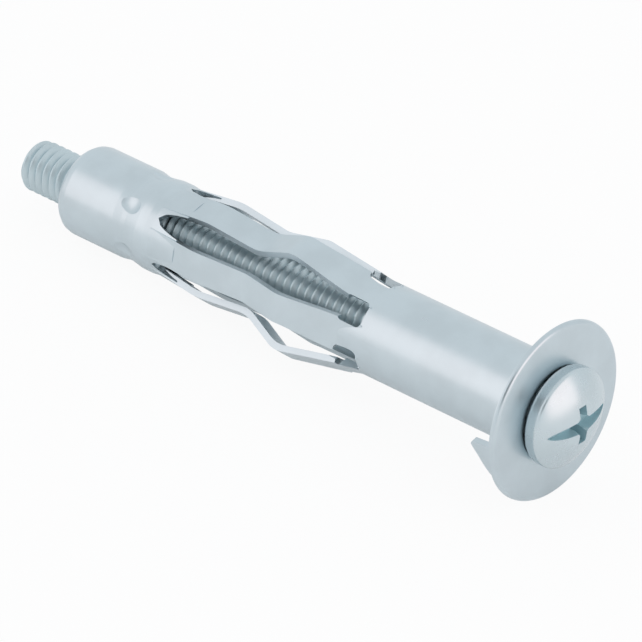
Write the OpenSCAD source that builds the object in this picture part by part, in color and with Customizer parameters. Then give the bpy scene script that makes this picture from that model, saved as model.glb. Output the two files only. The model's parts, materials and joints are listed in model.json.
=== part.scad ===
// Hollow wall anchor: a slotted sheet-steel sleeve, the nut crimped into its rear
// end and the machine screw that draws the two together behind the wall.
// The screw axis lies along X, the head towards +X. The origin is on the axis,
// in the rear face of the flange, which is the face that lands on the wall.

/* [Sleeve] */
// Outside diameter of the round tube
tube_d = 10.3; // [9.8:0.1:11]
// Thickness of the sheet that the sleeve is rolled from
sheet_t = 0.7; // [0.6:0.05:0.9]
// Length of the sleeve, from the front of the flange to the rear lip
sleeve_len = 66.9; // [64:0.1:72]
// Plain tube between the rear of the flange and the slots
grip_len = 22.5; // [15:0.5:24]

/* [Flange] */
// Diameter of the flange
flange_d = 20.2; // [18:0.1:24]
// Rounding of the front edge of the flange
flange_edge_r = 0.5; // [0.2:0.05:0.55]
// Bend between the flange and the tube, seen from the front
mouth_r = 0.9; // [0.6:0.05:1.2]
// Height of the claws behind the flange
claw_h = 2.6; // [1:0.1:4]
// Width of a claw where it leaves the rim
claw_w = 4.6; // [3:0.1:6]
// How far a claw stands in from the edge of the flange
claw_inset = 0.35; // [0.3:0.05:1]

/* [Legs] */
// Number of legs round the sleeve
leg_count = 6; // [5:1:7]
// Length of the slots between the legs
slot_len = 29.4; // [28:0.1:32]
// Turn of the seam of the rolled sheet about the axis, from straight down
seam_turn = 225; // [0:1:359]
// Extra width that the seam adds to the slot it runs into
seam_gap = 0.8; // [0:0.1:1.2]
// Width of a slot in the square hole at its front end
slot_end_w = 2.9; // [2.4:0.1:3.1]
// Length of the square hole at the front end of a slot
slot_end_len = 2.9; // [2:0.1:3.5]
// Width of a slot just behind the square hole
slot_neck_w = 1.5; // [1.2:0.1:2.2]
// Width of a slot at the front crest of the legs, before they are bent
slot_crest_w = 2.2; // [2:0.1:3]
// Width of a slot at the rear crest of the legs, before they are bent
slot_rear_w = 2.1; // [2:0.1:3]
// How far the flat legs lie inside the round of the tube
flat_drop = 0.3; // [0.2:0.05:0.4]

/* [Leg bends] */
// Rise of every second leg at its front crest
high_rise = 2.2; // [1.2:0.1:2.6]
// Rise of the legs between them at their front crest
low_rise = 1.1; // [0.6:0.1:1.6]
// Rise at the rear crest
rear_rise = 0.75; // [0.3:0.05:1]
// Rise left in the waist between the two crests
waist_rise = 0.05; // [0:0.05:0.2]
// Front crest, from the front end of the slot
crest_at = 10.9; // [9.5:0.1:12]
// Waist, from the front end of the slot
waist_at = 16; // [15:0.1:17.5]
// Rear crest, from the front end of the slot
rear_crest_at = 23.1; // [22:0.1:25]

/* [Collar] */
// Outside radius that the bead behind the legs stands above the tube
bead_rise = 0.06; // [0:0.02:0.2]
// Length of the bead behind the legs
bead_len = 3; // [2:0.1:3.5]
// Depth of the crimp that holds the nut
crimp_depth = 0.2; // [0.1:0.02:0.35]
// Length of the crimp along the sleeve
crimp_len = 2.8; // [2:0.1:3.2]
// Depth of the punch marks in the crimp
punch_depth = 0.24; // [0.1:0.02:0.35]
// Diameter of the opening in the rear lip
lip_d = 7.6; // [7.4:0.1:8.4]
// Rounding of the rear lip, outside
lip_r = 1.5; // [1.2:0.1:2.2]

/* [Nut] */
// Clearance all round between the nut and the sleeve
nut_clear = 0.05; // [0.02:0.01:0.1]
// Diameter of the short spigot that shows in the rear lip
spigot_d = 7.1; // [6.6:0.1:7.2]
// How far the spigot stands short of the rear lip
spigot_inset = 0.15; // [0:0.05:0.5]

/* [Screw] */
// Outside diameter of the thread
screw_d = 5.85; // [5.6:0.05:6]
// Radial clearance between the screw and the nut
thread_clear = 0.04; // [0.02:0.01:0.08]
// Length of the screw under its head
screw_len = 75; // [73:0.5:90]
// Length of the chamfer at the tip
tip_chamfer = 1.2; // [0.3:0.1:1.5]
// Gap left between the head and the flange
head_gap = 0.7; // [0.1:0.05:1.5]
// Diameter of the head
head_d = 11.3; // [10.5:0.1:13]
// Height of the straight side of the head
head_side = 1.2; // [0.6:0.1:2]
// Radius of the dome on the head
dome_r = 9.1; // [8:0.1:12]
// Rounding of the edge round the head
head_edge_r = 0.25; // [0.1:0.05:0.4]
// Length of the driver slot
drive_len = 9; // [7:0.1:10]
// Width of the driver slot at its middle
drive_w = 1.5; // [1:0.1:2]
// Depth of the driver slot below the top of the dome
drive_depth = 1.5; // [1:0.1:2]
// Length across the arms of the cross recess
cross_len = 4.4; // [3.5:0.1:5.5]
// Width of the arms of the cross recess
cross_w = 1.1; // [0.8:0.1:1.4]
// Depth of the cross recess below the top of the dome
cross_depth = 2.2; // [1.5:0.1:2.6]

/* [Hidden] */

$fn = 96;
arc_steps = 4;

zinc = "lightsteelblue";
zinc_pale = "gainsboro";

tube_r = tube_d / 2;
bore_r = tube_r - sheet_t;
flange_r = flange_d / 2;
seam_angle = 2 * asin(seam_gap / 2 / tube_r);
leg_step = (360 - seam_angle) / leg_count;

// Places along the axis, all measured back from the rear face of the flange
slot_start = grip_len;
slot_end = slot_start + slot_len;
sleeve_end = sleeve_len - sheet_t;

// Legs
apothem = tube_r - flat_drop;
half_side = apothem * tan(leg_step / 2);
leg_front = -0.2;
leg_tail = 0.5;
plan_steps = 12;
crest_bend_r = 3;
waist_bend_r = 4;
rear_bend_r = 8;
root_bend_r = 4;

// The tube runs a little way under the legs, to where they lift off it
tube_under_legs = 2.55;

// The tools that cut the slots start at this radius, inside the bore
slot_tool_r = 3;

// The ring behind the legs reaches forward round the pointed ends of the slots
ring_reach = 3.5;
ring_flare = 0.2;
crease_depth = 0.06;

// Bead, crimp and collar behind the legs
bead_r = tube_r + bead_rise;
crimp_at = slot_end + bead_len + crimp_len / 2;
collar_start = slot_end + bead_len + crimp_len;
punch_r = 2.4;
punch_shift = 0.3;
lip_bore_r = lip_d / 2;

// Nut
nut_r = bore_r - nut_clear;
nut_front = collar_start + nut_clear;
nut_shoulder = sleeve_end - lip_r - nut_clear;
nut_rear = sleeve_end - spigot_inset;
nut_bore_r = screw_d / 2 + thread_clear;
nut_chamfer = 0.4;

// Screw
under_head = sheet_t + head_gap;
head_r = head_d / 2;
dome_top = head_side + dome_r - sqrt(dome_r * dome_r - head_r * head_r);
neck_r = 0.3;

// ---- small functions ----

function unit(v) = v / norm(v);
function turned(v, a) = [v.x * cos(a) - v.y * sin(a), v.x * sin(a) + v.y * cos(a)];
function left_of(v) = [-v.y, v.x] / norm(v);

// The corner b of the path a-b-c, replaced by an arc of radius r
function corner(a, b, c, r) =
    let (
        u = unit(a - b),
        v = unit(c - b),
        half = acos(max(-1, min(1, u * v))) / 2
    )
    (r <= 0 || half > 89.9) ? [b] :
    let (
        centre = b + unit(u + v) * r / sin(half),
        arm = b + u * r / tan(half) - centre,
        sweep = sign(cross(v, u)) * (180 - 2 * half)
    )
    [for (i = [0:arc_steps]) centre + turned(arm, sweep * i / arc_steps)];

// An open path with its inner corners rounded
function rounded(pts, radii) = [
    for (i = [0:len(pts) - 1])
        each (i == 0 || i == len(pts) - 1) ? [pts[i]]
            : corner(pts[i - 1], pts[i], pts[i + 1], radii[i])
];

// A closed outline with its corners rounded
function rounded_loop(pts, radii) = [
    for (i = [0:len(pts) - 1])
        each corner(pts[(i + len(pts) - 1) % len(pts)], pts[i], pts[(i + 1) % len(pts)], radii[i])
];

// The path moved to its left by d, with mitred corners
function shifted(pts, d) = [
    for (i = [0:len(pts) - 1])
        let (
            before = left_of(pts[max(i, 1)] - pts[max(i, 1) - 1]),
            after = left_of(pts[min(i, len(pts) - 2) + 1] - pts[min(i, len(pts) - 2)]),
            mitre = unit(before + after)
        )
        pts[i] + mitre * d / (mitre * before)
];

// Radii of the shifted path, so that both sides of a bend share one centre
function shifted_radii(pts, radii, d) = [
    for (i = [0:len(pts) - 1])
        (i == 0 || i == len(pts) - 1) ? 0
            : radii[i] + d * sign(cross(pts[i] - pts[i - 1], pts[i + 1] - pts[i]))
];

function backwards(pts) = [for (i = [len(pts) - 1:-1:0]) pts[i]];

// Turn of a leg, and of the slot before it; slot 0 is the one in line with the seam
function leg_turn(i) = seam_turn + seam_angle / 2 + (i + 0.5) * leg_step;
function slot_turn(i) = i == 0 ? seam_turn : seam_turn + seam_angle / 2 + i * leg_step;

function smooth(x) = let (k = max(0, min(1, x))) k * k * (3 - 2 * k);

// ---- shared shapes ----

// Turns a shape built along +Z so that it lies along +X; its +X side then faces down
module along_axis() {
    rotate([0, 90, 0]) children();
}

// A strip of sheet that follows a path of [distance back, radius], seen from the side
module sheet_strip(path, radii, width) {
    inner = shifted(path, -sheet_t);
    inner_radii = shifted_radii(path, radii, -sheet_t);
    outline = concat(rounded(path, radii), backwards(rounded(inner, inner_radii)));
    rotate([90, 0, 0])
        linear_extrude(height = width, center = true)
            polygon([for (p = outline) [p.y, -p.x]]);
}

// ---- sleeve ----

// Outline of the flange and the round tube, half of a cut through the axis
module front_profile() {
    tube_end = slot_start + tube_under_legs;
    polygon(concat(
        [[bore_r, -tube_end], [tube_r, -tube_end], [tube_r, 0],
         [flange_r - flange_edge_r / 2, 0], [flange_r, flange_edge_r / 4]],
        [for (i = [0:arc_steps])
            [flange_r - flange_edge_r + flange_edge_r * cos(90 * i / arc_steps),
             sheet_t - flange_edge_r + flange_edge_r * sin(90 * i / arc_steps)]],
        [for (i = [0:arc_steps])
            [bore_r + mouth_r - mouth_r * sin(90 * i / arc_steps),
             sheet_t - mouth_r + mouth_r * cos(90 * i / arc_steps)]]
    ));
}

// Width of a slot at a distance from its front end
function slot_width(u) =
    let (
        to_crest = smooth((u - slot_end_len) / (crest_at - slot_end_len)),
        to_rear = smooth((u - crest_at) / (rear_crest_at - crest_at)),
        closing = max(0, (u - rear_crest_at) / (slot_len - rear_crest_at))
    )
    (slot_neck_w + (slot_crest_w - slot_neck_w) * to_crest
        + (slot_rear_w - slot_crest_w) * to_rear) * sqrt(max(0, 1 - closing * closing));

// Plan of a leg: half width against the distance back
module leg_plan() {
    stations = [for (i = [0:plan_steps]) leg_front + (rear_crest_at - leg_front) * i / plan_steps];
    edge = [for (u = stations) [half_side - slot_width(u) / 2, -slot_start - u]];
    tail_half = half_side - slot_rear_w / 2;
    tail = [[tail_half, -slot_end - leg_tail], [-tail_half, -slot_end - leg_tail]];
    polygon(concat(edge, tail, [for (p = backwards(edge)) [-p.x, p.y]]));
}

// One bent leg, on the +X side of the axis
module leg(rise) {
    path = [
        [slot_start + leg_front, apothem],
        [slot_start + crest_at, apothem + rise],
        [slot_start + waist_at, apothem + waist_rise],
        [slot_start + rear_crest_at, apothem + rear_rise],
        [slot_end, apothem],
        [slot_end + leg_tail, apothem]
    ];
    radii = [0, crest_bend_r, waist_bend_r, rear_bend_r, root_bend_r, 0];
    reach = apothem + high_rise + sheet_t;
    intersection() {
        sheet_strip(path, radii, 2 * half_side + 1);
        rotate([90, 0, 90])
            linear_extrude(height = reach)
                leg_plan();
    }
}

// The front end of a slot: a square hole with round corners, and the neck behind it
module slot_front() {
    hole_end = -slot_start - slot_end_len;
    neck_end = hole_end - 1;
    step = (slot_end_w - slot_neck_w) / 2;
    right = [
        [slot_neck_w / 2, neck_end], [slot_neck_w / 2, hole_end],
        [slot_end_w / 2, hole_end], [slot_end_w / 2, -slot_start]
    ];
    outline = concat(right, [for (p = backwards(right)) [-p.x, p.y]]);
    rotate([90, 0, 90])
        translate([0, 0, slot_tool_r])
            linear_extrude(height = tube_r)
                polygon(rounded_loop(outline, [0, 0.3 * step, 0.6 * step, 0.6, 0.6, 0.6 * step, 0.3 * step, 0]));
}

// The pointed rear end of a slot, widened by the seam where that meets it
module slot_point(extra_w) {
    side = [for (i = [0:plan_steps / 2])
        let (u = slot_len - (ring_reach + 0.5) * (1 - i / (plan_steps / 2)))
        [slot_width(u) / 2 * (1 + extra_w / slot_rear_w), -slot_start - u]];
    other = [for (i = [plan_steps / 2 - 1:-1:0]) [-side[i].x, side[i].y]];
    rotate([90, 0, 90])
        translate([0, 0, slot_tool_r])
            linear_extrude(height = tube_r)
                polygon(concat(side, other));
}

// Bead, crimp, collar and curled lip: half of a cut through the axis
module rear_profile() {
    path = [
        [slot_end - ring_reach, tube_r + ring_flare],
        [slot_end + bead_len * 0.1, tube_r - crease_depth],
        [slot_end + bead_len * 0.4, bead_r],
        [slot_end + bead_len * 0.8, bead_r],
        [crimp_at - 0.3, tube_r - crimp_depth],
        [crimp_at + 0.3, tube_r - crimp_depth],
        [collar_start, tube_r],
        [sleeve_end - lip_r, tube_r]
    ];
    radii = [0, 0.5, 0.6, 1, 0.8, 0.8, 1, 0];
    outer = rounded(path, radii);
    inner = rounded(shifted(path, -sheet_t), shifted_radii(path, radii, -sheet_t));
    curl = [for (i = [0:arc_steps])
        let (a = 90 * i / arc_steps)
        [sleeve_end - lip_r + lip_r * sin(a), tube_r - lip_r + lip_r * cos(a)]];
    curl_in_r = max(0.2, lip_r - sheet_t);
    curl_in = [for (i = [0:arc_steps])
        let (a = 90 * i / arc_steps)
        [sleeve_end - lip_r + curl_in_r * sin(a), bore_r - curl_in_r + curl_in_r * cos(a)]];
    lip = [[sleeve_end, lip_bore_r], [sleeve_end - lip_r + curl_in_r, lip_bore_r]];
    outline = concat(outer, curl, lip, backwards(curl_in), backwards(inner));
    polygon([for (p = outline) [p.y, -p.x]]);
}

// A punch mark in the crimp, behind a slot
module punch_mark() {
    translate([tube_r - crimp_depth - punch_depth + punch_r, 0, -crimp_at + punch_shift])
        sphere(r = punch_r);
}

// A claw bent back from the rim, its tip set to one side
module claw() {
    lean = claw_w * 0.42;
    root = sheet_t / 2;
    outline = [
        [-claw_w / 2, root], [-claw_w / 2, 0], [-lean - 0.15, -claw_h + 0.2],
        [-lean + 0.15, -claw_h], [-claw_w * 0.12, -claw_h * 0.62],
        [claw_w * 0.3, -claw_h * 0.22], [claw_w / 2, 0], [claw_w / 2, root]
    ];
    intersection() {
        rotate_extrude()
            translate([flange_r - claw_inset - sheet_t, -claw_h - 1])
                square([sheet_t, claw_h + 1 + root]);
        rotate([90, 0, 90])
            linear_extrude(height = flange_r)
                polygon(rounded_loop(outline, [0, 0, 0.2, 0.2, 1.5, 2, 0, 0]));
    }
}

module sleeve() {
    claw_turn = 13;
    color(zinc) along_axis() {
        difference() {
            union() {
                rotate_extrude() front_profile();
                for (i = [0:leg_count - 1])
                    rotate([0, 0, leg_turn(i)])
                        leg(i % 2 == 0 ? low_rise : high_rise);
            }
            for (i = [0:leg_count - 1])
                rotate([0, 0, slot_turn(i)]) slot_front();
        }
        difference() {
            rotate_extrude() rear_profile();
            for (i = [0:leg_count - 1])
                rotate([0, 0, slot_turn(i)]) {
                    punch_mark();
                    slot_point(i == 0 ? seam_gap : 0);
                }
        }
        for (side = [-90, 90])
            rotate([0, 0, side + claw_turn]) claw();
    }
}

// ---- nut ----

// Round nut that sits between the crimp and the curled lip
module nut() {
    color(zinc_pale) along_axis()
        rotate_extrude()
            polygon([
                [nut_bore_r, -nut_front - nut_chamfer], [nut_bore_r + nut_chamfer, -nut_front],
                [nut_r - nut_chamfer, -nut_front], [nut_r, -nut_front - nut_chamfer],
                [nut_r, -nut_shoulder], [spigot_d / 2, -nut_shoulder - (nut_r - spigot_d / 2) / 2],
                [spigot_d / 2, -nut_rear], [nut_bore_r + nut_chamfer / 2, -nut_rear],
                [nut_bore_r, -nut_rear + nut_chamfer / 2]
            ]);
}

// ---- screw ----

// Half of a cut through the shank and the straight-sided blank of the head
module screw_profile() {
    shank_r = screw_d / 2;
    polygon([
        [0, under_head - screw_len], [shank_r - tip_chamfer * 0.8, under_head - screw_len],
        [shank_r, under_head - screw_len + tip_chamfer], [shank_r, under_head - neck_r],
        [shank_r + neck_r, under_head], [head_r - head_edge_r, under_head],
        [head_r, under_head + head_edge_r], [head_r, under_head + dome_top],
        [0, under_head + dome_top]
    ]);
}

// All that lies under the dome: a ball that caps the head, and room for the shank
module dome_cap() {
    translate([0, 0, under_head + dome_top - dome_r])
        sphere(r = dome_r);
    translate([0, 0, under_head - screw_len - 1])
        cylinder(r = head_r + 1, h = screw_len + 1 + head_side / 2);
}

// Slot with pointed ends, crossed by the shorter arms of a cross recess
module driver_recess() {
    top = under_head + dome_top;
    translate([0, 0, top - drive_depth])
        linear_extrude(height = drive_depth + 1)
            polygon([
                for (i = [0:2 * arc_steps]) let (a = 180 * i / (2 * arc_steps))
                    [drive_w / 2 * sin(a), -drive_len / 2 * cos(a)],
                for (i = [1:2 * arc_steps - 1]) let (a = 180 * i / (2 * arc_steps))
                    [-drive_w / 2 * sin(a), drive_len / 2 * cos(a)]
            ]);
    translate([-cross_len / 2, -cross_w / 2, top - cross_depth])
        cube([cross_len, cross_w, cross_depth + 1]);
    translate([0, 0, top - cross_depth - cross_w / 4])
        cylinder(d1 = cross_w, d2 = 2 * cross_w, h = cross_depth);
}

module screw() {
    color(zinc_pale) along_axis()
        difference() {
            intersection() {
                rotate_extrude() screw_profile();
                dome_cap();
            }
            driver_recess();
        }
}

sleeve();
nut();
screw();
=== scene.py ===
# %% [markdown]
# # A hollow wall anchor
# A sleeve pressed from one sheet, the nut crimped into its end and the screw that pulls
# the nut forward, so that the legs fold out behind the board. The sleeve and the nut
# shown are the CAD's own. The CAD's screw has the recess but no thread, so this script
# makes the whole screw again with one. The top of its head is where the CAD has it, but
# the edges are rounder and the underside comes nearer to the flange. The script also
# gives every piece its zinc finish.

import json
import math

import bmesh
import bpy
from mathutils import Matrix, Vector

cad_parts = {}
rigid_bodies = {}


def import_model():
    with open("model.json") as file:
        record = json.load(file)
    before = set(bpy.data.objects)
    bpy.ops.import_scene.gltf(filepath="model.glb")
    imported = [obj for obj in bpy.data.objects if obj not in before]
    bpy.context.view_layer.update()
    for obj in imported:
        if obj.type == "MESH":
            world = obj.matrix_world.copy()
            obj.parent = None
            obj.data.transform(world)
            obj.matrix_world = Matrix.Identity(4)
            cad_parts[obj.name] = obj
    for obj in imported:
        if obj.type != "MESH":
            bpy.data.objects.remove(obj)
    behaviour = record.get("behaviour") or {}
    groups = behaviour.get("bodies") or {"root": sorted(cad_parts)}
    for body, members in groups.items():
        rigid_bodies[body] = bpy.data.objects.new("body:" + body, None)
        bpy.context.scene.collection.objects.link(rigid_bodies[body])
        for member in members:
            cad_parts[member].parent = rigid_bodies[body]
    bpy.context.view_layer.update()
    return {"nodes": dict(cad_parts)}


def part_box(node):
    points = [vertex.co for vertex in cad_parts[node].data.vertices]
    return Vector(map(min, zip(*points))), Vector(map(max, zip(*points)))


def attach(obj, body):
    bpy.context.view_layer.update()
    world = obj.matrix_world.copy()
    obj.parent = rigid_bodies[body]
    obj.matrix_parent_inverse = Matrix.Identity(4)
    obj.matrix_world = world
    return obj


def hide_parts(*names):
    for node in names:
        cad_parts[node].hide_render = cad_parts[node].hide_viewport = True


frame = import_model()
MM = 0.001
print("CAD nodes:", sorted(frame["nodes"]))


# %% [markdown]
# ## Small tools
# Each piece starts as a primitive and is shaped with edit-mode operators. An operator
# works on the selection, so every step starts from a clean one.

# %% Modelling tools
def only(obj):
    """Selects obj alone and makes it active."""
    for other in bpy.context.view_layer.objects:
        other.select_set(False)
    obj.select_set(True)
    bpy.context.view_layer.objects.active = obj


def named(name, body):
    """Names the active object, settles its transform into its mesh and sets it on a body."""
    obj = bpy.context.view_layer.objects.active
    obj.name = name
    only(obj)
    bpy.ops.object.transform_apply(location=True, rotation=True, scale=True)
    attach(obj, body)
    return obj


def apply_modifier(obj, kind, **settings):
    """Adds a modifier with these settings and applies it."""
    only(obj)
    modifier = obj.modifiers.new(kind.title(), kind)
    for key, value in settings.items():
        setattr(modifier, key, value)
    bpy.ops.object.modifier_apply(modifier=modifier.name)


def outline(name, points):
    """A flat face through these [along, across] points in millimetres, in the XZ plane."""
    bpy.ops.mesh.primitive_circle_add(vertices=len(points), radius=1, fill_type="NOTHING")
    obj = bpy.context.view_layer.objects.active
    obj.name = name
    for vertex, (along, radius) in zip(obj.data.vertices, points):
        vertex.co = Vector((along * MM, 0, radius * MM))
    return obj


# %% [markdown]
# ## Sizes read back from the CAD
# Both ends of the screw and the front of the flange are read from the CAD's boxes. The
# diameters, the slot and the cross are given again below, with the CAD's own values.

# %% Sizes
screw_low, screw_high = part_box("screw")
sleeve_low, sleeve_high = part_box("sleeve")
TIP, TOP = screw_low.x / MM, screw_high.x / MM
FLANGE_FRONT = sleeve_high.x / MM
print(f"screw from {TIP:.2f} to {TOP:.2f} mm, flange front at {FLANGE_FRONT:.2f} mm")


# %% [markdown]
# ## The thread
# A thread is one tooth of its profile swept along a helix. The Screw modifier does just
# that: the tooth turns about X while it moves one pitch a turn. The sweep is then cut to
# the shape of a chamfered rod, which gives the screw its clean tip.

# %% Thread
PITCH = 1.0
MAJOR_R = 2.925
ROOT_R = 2.42
CREST_FLAT, ROOT_FLAT = 0.14, 0.16
STEPS_PER_TURN = 48
UNDER_GAP = 0.1
HEAD_UNDER = FLANGE_FRONT + UNDER_GAP
THREAD_TOP = HEAD_UNDER
TURNS = round(THREAD_TOP - TIP) + 2


def tooth_profile():
    """One pitch of the thread, open at both ends, as [along, radius] in millimetres."""
    crest = 0.5 * PITCH
    return [
        (0, ROOT_R),
        (ROOT_FLAT, ROOT_R),
        (crest - CREST_FLAT / 2, MAJOR_R - 0.02),
        (crest, MAJOR_R),
        (crest + CREST_FLAT / 2 + 0.02, MAJOR_R - 0.03),
        (PITCH - 0.02, ROOT_R + 0.03),
        (PITCH, ROOT_R),
    ]


def make_thread():
    """The tooth swept past both ends of the screw, with its two open ends closed."""
    tooth = outline("thread", tooth_profile())
    only(tooth)
    bpy.ops.object.mode_set(mode="EDIT")
    mesh = bmesh.from_edit_mesh(tooth.data)
    mesh.edges.ensure_lookup_table()
    closing = [e for e in mesh.edges if abs(e.verts[0].co.x - e.verts[1].co.x) > 0.9 * MM]
    bmesh.ops.delete(mesh, geom=closing, context="EDGES_FACES")
    bmesh.update_edit_mesh(tooth.data)
    bpy.ops.mesh.select_all(action="SELECT")
    bpy.ops.transform.translate(value=((TIP - 1) * MM, 0, 0))
    bpy.ops.object.mode_set(mode="OBJECT")
    apply_modifier(
        tooth, "SCREW", axis="X", angle=math.tau, screw_offset=PITCH * MM, iterations=TURNS,
        steps=STEPS_PER_TURN, render_steps=STEPS_PER_TURN, use_merge_vertices=True,
        merge_threshold=1e-6,
    )
    only(tooth)
    bpy.ops.object.mode_set(mode="EDIT")
    bpy.ops.mesh.select_all(action="SELECT")
    bpy.ops.mesh.remove_doubles(threshold=2e-6)
    bpy.ops.mesh.normals_make_consistent(inside=False)
    bpy.ops.mesh.select_all(action="DESELECT")
    bpy.ops.mesh.select_non_manifold()
    bpy.ops.mesh.edge_face_add()
    bpy.ops.object.mode_set(mode="OBJECT")
    return tooth


thread = make_thread()
print(f"thread: {TURNS} turns, {len(thread.data.polygons)} faces")


# %% [markdown]
# ## Cut to the rod
# The rod is a plain cylinder whose end edge is bevelled. What the sweep and the rod
# share is the finished shank: flat at the tip, with the first turns running out.

# %% Shank
ROD_CLEARANCE = 0.05
TIP_CHAMFER = 1.1


def make_rod():
    """A plain cylinder just wider than the thread, with the edge at its tip bevelled."""
    length = THREAD_TOP - TIP
    bpy.ops.mesh.primitive_cylinder_add(
        vertices=96, radius=(MAJOR_R + ROD_CLEARANCE) * MM, depth=length * MM,
        location=((TIP + length / 2) * MM, 0, 0), rotation=(0, math.pi / 2, 0),
    )
    rod = bpy.context.view_layer.objects.active
    only(rod)
    bpy.ops.object.transform_apply(location=True, rotation=True, scale=True)
    bpy.ops.object.mode_set(mode="EDIT")
    bpy.ops.mesh.select_all(action="DESELECT")
    mesh = bmesh.from_edit_mesh(rod.data)
    for edge in mesh.edges:
        edge.select = all(v.co.x < (TIP + 0.1) * MM for v in edge.verts)
    bmesh.update_edit_mesh(rod.data)
    bpy.ops.mesh.bevel(offset=TIP_CHAMFER * MM, segments=5, profile=0.5, affect="EDGES")
    bpy.ops.object.mode_set(mode="OBJECT")
    return rod


rod = make_rod()
apply_modifier(thread, "BOOLEAN", operation="INTERSECT", object=rod, solver="EXACT")
bpy.data.objects.remove(rod)
print(f"shank: {len(thread.data.polygons)} faces")


# %% [markdown]
# ## The head
# The head is turned: its half profile is revolved about X. The dome is one arc, the
# side is short, and the underside curves in to a flat that nearly meets the flange.

# %% Head
HEAD_R = 5.65
DOME_R = 9.1
SHOULDER_R = 0.5
UNDER_R = 0.8
NECK_R = MAJOR_R + 0.4


def arc(centre, radius, start, end, steps):
    """Points of an arc about [along, radius], its angles measured from the axis."""
    angles = [start + (end - start) * i / steps for i in range(steps + 1)]
    return [(centre[0] + radius * math.cos(a), centre[1] + radius * math.sin(a)) for a in angles]


def head_profile():
    """Half outline of the head, as [along, radius] in millimetres, from under it to its top."""
    reach, side = DOME_R - SHOULDER_R, HEAD_R - SHOULDER_R
    meets = math.asin(side / reach)
    centre = TOP - DOME_R
    return [
        (HEAD_UNDER, 0), (HEAD_UNDER, NECK_R),
        *arc((HEAD_UNDER + UNDER_R, HEAD_R - UNDER_R), UNDER_R, math.pi, math.pi / 2, 10),
        *arc((centre + reach * math.cos(meets), side), SHOULDER_R, math.pi / 2, meets, 6)[:-1],
        *arc((centre, 0), DOME_R, meets, 0, 24),
    ]


def make_head():
    """The half outline turned once about X."""
    head = outline("head", head_profile())
    only(head)
    bpy.ops.object.mode_set(mode="EDIT")
    mesh = bmesh.from_edit_mesh(head.data)
    on_axis = [e for e in mesh.edges if all(abs(v.co.z) < 1e-7 for v in e.verts)]
    bmesh.ops.delete(mesh, geom=on_axis, context="EDGES_FACES")
    bmesh.update_edit_mesh(head.data)
    bpy.ops.object.mode_set(mode="OBJECT")
    apply_modifier(
        head, "SCREW", axis="X", angle=math.tau, screw_offset=0, steps=128, render_steps=128,
        use_merge_vertices=True, merge_threshold=1e-6,
    )
    only(head)
    bpy.ops.object.mode_set(mode="EDIT")
    bpy.ops.mesh.select_all(action="SELECT")
    bpy.ops.mesh.remove_doubles(threshold=1e-6)
    bpy.ops.mesh.normals_make_consistent(inside=False)
    bpy.ops.object.mode_set(mode="OBJECT")
    return head


head = make_head()
print(f"head: {len(head.data.polygons)} faces")


# %% [markdown]
# ## The driver recess
# A combined recess takes a flat blade or a cross bit. The slot has a boat-shaped
# outline, because its cutter dips into the dome; the cross arms are short and deeper.

# %% Recess
def prism(name, points, low, high):
    """A prism along X through these [across, up] points in millimetres."""
    bpy.ops.mesh.primitive_circle_add(vertices=len(points), radius=1, fill_type="NGON")
    obj = bpy.context.view_layer.objects.active
    obj.name = name
    for vertex, (across, up) in zip(obj.data.vertices, points):
        vertex.co = Vector((low * MM, across * MM, up * MM))
    only(obj)
    bpy.ops.object.mode_set(mode="EDIT")
    bpy.ops.mesh.select_all(action="SELECT")
    bpy.ops.mesh.extrude_region_move(
        TRANSFORM_OT_translate={"value": ((high - low) * MM, 0, 0)}
    )
    bpy.ops.mesh.select_all(action="SELECT")
    bpy.ops.mesh.normals_make_consistent(inside=False)
    bpy.ops.object.mode_set(mode="OBJECT")
    return obj


def boat(length, width, steps=14):
    """Outline with two pointed ends, counter-clockwise."""
    angles = [math.pi * i / steps for i in range(steps + 1)]
    upper = [(length / 2 * math.cos(a), width / 2 * math.sin(a) ** 1.2) for a in angles]
    lower = [(-y, -z) for y, z in upper[1:-1]]
    return upper + lower


SLOT_LEN, SLOT_WIDTH, SLOT_DEPTH = 9.0, 1.5, 1.5
CROSS_LEN, CROSS_WIDTH, RECESS_DEPTH = 4.4, 1.1, 2.2
POINT_R, POINT_END_R, POINT_DEPTH = 1.15, 0.5, 2.4


def cut_recess(solid):
    """Cuts the slot, the cross and the pointed hole at their centre out of the dome."""
    half_w, half_l = CROSS_WIDTH / 2, CROSS_LEN / 2
    bar = [(-half_w, -half_l), (half_w, -half_l), (half_w, half_l), (-half_w, half_l)]
    cutters = [
        prism("slot_cutter", boat(SLOT_LEN, SLOT_WIDTH), TOP - SLOT_DEPTH, TOP + 1),
        prism("cross_cutter", bar, TOP - RECESS_DEPTH, TOP + 1),
    ]
    bpy.ops.mesh.primitive_cone_add(
        vertices=32, radius1=POINT_R * MM, radius2=POINT_END_R * MM, depth=POINT_DEPTH * MM,
        location=((TOP - POINT_DEPTH / 2) * MM, 0, 0), rotation=(0, -math.pi / 2, 0),
    )
    cutters.append(bpy.context.view_layer.objects.active)
    for cutter in cutters:
        apply_modifier(solid, "BOOLEAN", operation="DIFFERENCE", object=cutter, solver="EXACT")
        bpy.data.objects.remove(cutter)


cut_recess(head)
only(head)
thread.select_set(True)
bpy.ops.object.join()
screw = named("screw_threaded", "screw")
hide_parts("screw")
SCREW_CREASE, SHEET_CREASE = math.radians(32), math.radians(28)
bpy.ops.object.shade_smooth_by_angle(angle=SCREW_CREASE)
print(f"screw: {len(screw.data.polygons)} faces")


# %% [markdown]
# ## Shader helpers
# Maths on sockets reads like maths on numbers, so each finish stays short.

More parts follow.
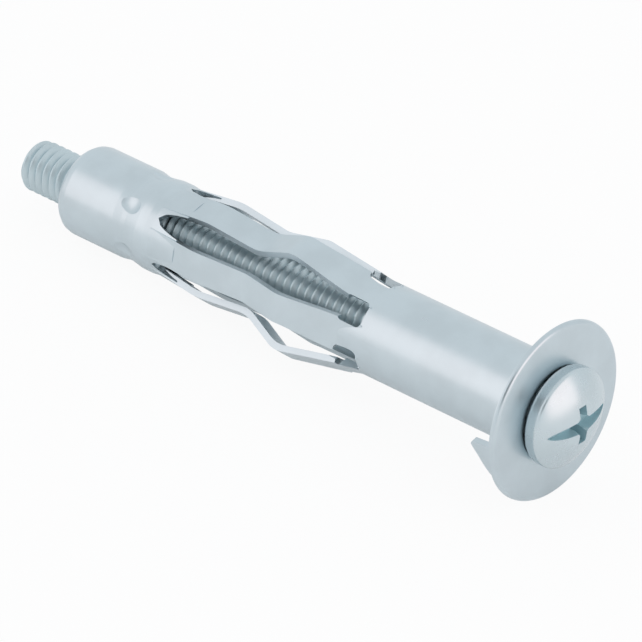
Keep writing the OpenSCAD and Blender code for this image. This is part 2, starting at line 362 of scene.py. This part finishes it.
# %% Shader helpers
class Socket:
    """A node socket that can be added, subtracted and multiplied like a number."""

    def __init__(self, tree, out):
        self.tree, self.out = tree, out

    def maths(self, operation, *others):
        node = self.tree.nodes.new("ShaderNodeMath")
        node.operation = operation
        for i, value in enumerate((self, *others)):
            link(self.tree, node.inputs[i], value)
        return Socket(self.tree, node.outputs[0])

    def __add__(self, other):
        return self.maths("ADD", other)

    def __sub__(self, other):
        return self.maths("SUBTRACT", other)

    def __mul__(self, other):
        return self.maths("MULTIPLY", other)

    __radd__, __rmul__ = __add__, __mul__

    def ramp(self, low, high):
        """0 below low, 1 above high and smooth between; low may be above high."""
        node = self.tree.nodes.new("ShaderNodeMapRange")
        node.interpolation_type = "SMOOTHSTEP"
        for i, value in enumerate((self, low, high, 0.0, 1.0)):
            link(self.tree, node.inputs[i], value)
        return Socket(self.tree, node.outputs[0])


def link(tree, target, value):
    """Wires a socket, or sets a constant."""
    if isinstance(value, Socket):
        tree.links.new(value.out, target)
    else:
        target.default_value = value


class Finish:
    """A material under construction."""

    def __init__(self, name):
        self.material = bpy.data.materials.new(name)
        self.material.use_nodes = True
        self.tree = self.material.node_tree
        self.surface = self.tree.nodes["Principled BSDF"]

    def node(self, kind, output=0, inputs=(), **settings):
        node = self.tree.nodes.new(kind)
        for key, value in settings.items():
            setattr(node, key, value)
        for key, value in dict(inputs).items():
            link(self.tree, node.inputs[key], value)
        return Socket(self.tree, node.outputs[output])

    def coordinates(self):
        return self.node("ShaderNodeTexCoord", "Object")

    def axes(self):
        place = self.coordinates()
        return [
            self.node("ShaderNodeSeparateXYZ", axis, {"Vector": place}) for axis in ("X", "Y", "Z")
        ]

    def noise(self, scale, stretch=(1, 1, 1), detail=3.0):
        place = self.node(
            "ShaderNodeVectorMath", 0, {0: self.coordinates(), 1: stretch}, operation="MULTIPLY"
        )
        return self.node(
            "ShaderNodeTexNoise", 0, {"Vector": place, "Scale": scale, "Detail": detail}
        )

    def mix(self, share, low, high):
        """A colour between low and high."""
        factor, colour_a, colour_b, result = 0, 6, 7, 2
        inputs = {factor: share, colour_a: low, colour_b: high}
        return self.node("ShaderNodeMix", result, inputs, data_type="RGBA")

    def bump(self, height, strength, distance=0.0001):
        return self.node(
            "ShaderNodeBump", 0, {"Height": height, "Strength": strength, "Distance": distance}
        )

    def set(self, **values):
        for key, value in values.items():
            link(self.tree, self.surface.inputs[key.replace("_", " ")], value)
        return self.material


# %% [markdown]
# ## Bright zinc
# Zinc plate is a thin, cool-grey metal skin. It is never a mirror: the plating follows
# the rolled sheet, so it has faint drawing marks along the tube and a slightly cloudy
# gloss.

# %% Finishes
def zinc(name, colour, gloss, grain=(1, 1, 1), metal=1.0):
    """Cloudy zinc: gloss is its roughness, and grain stretches its fine marks."""
    finish = Finish(name)
    cloud = finish.noise(260, detail=4)
    streak = finish.noise(900, grain, detail=2)
    pale = tuple(min(1, c * 1.07) for c in colour)
    tone = finish.mix(cloud.ramp(0.3, 0.7), (*colour, 1), (*pale, 1))
    roughness = gloss + 0.1 * (cloud - 0.5) + 0.05 * streak
    normal = finish.bump(streak + cloud * 0.6, 0.12, 0.00004)
    return finish.set(
        Base_Color=tone, Metallic=metal, Roughness=roughness, Normal=normal
    )


def paint(obj, material):
    """Gives obj this one material."""
    obj.data.materials.clear()
    obj.data.materials.append(material)


BELOW_DOME, ROUND_RECESS = 0.03, 0.1


def in_recess(point):
    """Whether a point of the screw lies on a wall or floor of the driver recess."""
    sunk = (point - Vector((TOP - DOME_R, 0, 0))).length < DOME_R - BELOW_DOME
    near_axis = math.hypot(point.y, point.z) < SLOT_LEN / 2 + ROUND_RECESS
    return sunk and near_axis and point.x > TOP - RECESS_DEPTH - ROUND_RECESS


def paint_screw(head_finish, recess_finish, thread_finish):
    """The recess is duller than the dome, and the rolled thread is softer than both."""
    paint(screw, head_finish)
    screw.data.materials.append(recess_finish)
    screw.data.materials.append(thread_finish)
    for face in screw.data.polygons:
        if in_recess(face.center / MM):
            face.material_index = 1
        elif face.center.x < HEAD_UNDER * MM:
            face.material_index = 2


paint_screw(
    zinc("zinc_head", (0.61, 0.69, 0.72), 0.25),
    zinc("zinc_recess", (0.54, 0.7, 0.74), 0.45, metal=0.7),
    zinc("zinc_thread", (0.59, 0.68, 0.71), 0.4),
)
paint(frame["nodes"]["nut"], zinc("zinc_nut", (0.59, 0.67, 0.7), 0.3))
paint(frame["nodes"]["sleeve"], zinc("zinc_sleeve", (0.605, 0.68, 0.715), 0.28, (0.15, 1, 1)))
for node in ("sleeve", "nut"):
    only(frame["nodes"][node])
    bpy.ops.object.shade_smooth_by_angle(angle=SHEET_CREASE)
print("finishes:", [m.name for m in bpy.data.materials])


# %% [markdown]
# ## Floor, light and camera
# The anchor lies on its flange rim and its rear collar, so the floor is the plane under
# both. To the camera and in the metal the floor looks almost white, and it keeps a soft
# shadow.

# %% Floor
REAR = (sleeve_low.x / MM + 1.5, -5.15)
RIM = (FLANGE_FRONT - 0.4, -10.15)
SEEN_GLOW, MIRRORED_GLOW = 0.92, 0.25


def white_paper():
    """Matt white. The camera sees most of its shading lifted away, and the metal some."""
    finish = Finish("floor_paper")
    finish.set(Base_Color=(0.95, 0.95, 0.95, 1), Roughness=0.9)
    glow = finish.node("ShaderNodeEmission", 0, {"Color": (1, 1, 1, 1), "Strength": 1.0})
    seen = finish.node("ShaderNodeLightPath", "Is Camera Ray")
    mirrored = finish.node("ShaderNodeLightPath", "Is Glossy Ray")
    share = seen * SEEN_GLOW + mirrored * MIRRORED_GLOW
    mixed = finish.node("ShaderNodeMixShader", 0, {
        0: share, 1: Socket(finish.tree, finish.surface.outputs[0]), 2: glow,
    })
    output = finish.tree.nodes["Material Output"]
    link(finish.tree, output.inputs["Surface"], mixed)
    return finish.material


def make_floor():
    """A wide plane through the two places that the anchor lies on."""
    slope = math.atan2(RIM[1] - REAR[1], RIM[0] - REAR[0])
    bpy.ops.mesh.primitive_plane_add(
        size=4, location=(RIM[0] * MM, 0, RIM[1] * MM), rotation=(0, -slope, 0)
    )
    floor = bpy.context.view_layer.objects.active
    floor.name = "floor"
    paint(floor, white_paper())
    return floor


floor = make_floor()


# %% Light and camera
AZIMUTH, ELEVATION = math.radians(41.65), math.radians(32.7)
BACK = Vector((
    math.sin(AZIMUTH) * math.cos(ELEVATION), -math.cos(AZIMUTH) * math.cos(ELEVATION),
    math.sin(ELEVATION),
))
RIGHT = Vector((math.cos(AZIMUTH), math.sin(AZIMUTH), 0))
UP = BACK.cross(RIGHT)


def area_light(name, direction, distance, size, level, colour=(1, 1, 1)):
    """A square soft light that faces the anchor. A level of 1 looks white in a mirror."""
    centre = Vector((-0.03, 0, 0))
    light = bpy.data.lights.new(name, "AREA")
    light.size, light.energy, light.color = size, level * math.pi * size ** 2, colour
    obj = bpy.data.objects.new(name, light)
    bpy.context.scene.collection.objects.link(obj)
    obj.location = centre + Vector(direction).normalized() * distance
    obj.rotation_mode = "QUATERNION"
    obj.rotation_quaternion = (centre - obj.location).to_track_quat("-Z", "Y")
    return obj


OPENING, OPENING_CORE = math.radians(16), 0.6
WALL_LEVEL, OPENING_LEVEL = 0.8, 0.05


def world():
    """Even, slightly cool studio walls with a dark opening for the camera."""
    made = bpy.data.worlds.new("studio")
    bpy.context.scene.world = made
    made.use_nodes = True
    tree = made.node_tree
    place = tree.nodes.new("ShaderNodeTexCoord")
    facing = tree.nodes.new("ShaderNodeVectorMath")
    facing.operation = "DOT_PRODUCT"
    facing.inputs[1].default_value = BACK
    tree.links.new(place.outputs["Generated"], facing.inputs[0])
    core, rim = math.cos(OPENING * OPENING_CORE), math.cos(OPENING)
    lit = Socket(tree, facing.outputs["Value"]).ramp(core, rim)
    path = tree.nodes.new("ShaderNodeLightPath")
    seen = tree.nodes.new("ShaderNodeBackground")
    walls = tree.nodes["Background"]
    either = tree.nodes.new("ShaderNodeMixShader")
    seen.inputs["Color"].default_value = (1, 1, 1, 1)
    seen.inputs["Strength"].default_value = 1.0
    walls.inputs["Color"].default_value = (0.93, 0.97, 1, 1)
    link(tree, walls.inputs["Strength"], lit * WALL_LEVEL + OPENING_LEVEL)
    tree.links.new(path.outputs["Is Camera Ray"], either.inputs[0])
    tree.links.new(walls.outputs[0], either.inputs[1])
    tree.links.new(seen.outputs[0], either.inputs[2])
    tree.links.new(either.outputs[0], tree.nodes["World Output"].inputs[0])


LENS, SENSOR = 392.5, 36
CAMERA_RIGHT, CAMERA_UP, CAMERA_BACK, NEARER = -24.684, 9.568, 735.225, 0.985


def camera():
    """A long lens, placed in millimetres from the centre of the flange's front."""
    data = bpy.data.cameras.new("camera")
    data.lens, data.sensor_width = LENS, SENSOR
    data.clip_start, data.clip_end = 0.01, 20
    obj = bpy.data.objects.new("camera", data)
    bpy.context.scene.collection.objects.link(obj)
    place = NEARER * (CAMERA_RIGHT * RIGHT + CAMERA_UP * UP + CAMERA_BACK * BACK)
    obj.matrix_world = Matrix.Translation(
        Vector((FLANGE_FRONT * MM, 0, 0)) + place * MM
    ) @ Matrix((RIGHT, UP, BACK)).transposed().to_4x4()
    bpy.context.scene.camera = obj


area_light("band", (-0.56, -0.7, 0.43), 0.6, 0.52, 0.4, (1, 0.78, 0.74))
area_light("dome", (0.95, 0.2, 0.15), 0.5, 0.42, 0.62, (1, 0.7, 0.64))
world()
camera()
bpy.context.scene.view_settings.view_transform = "Standard"
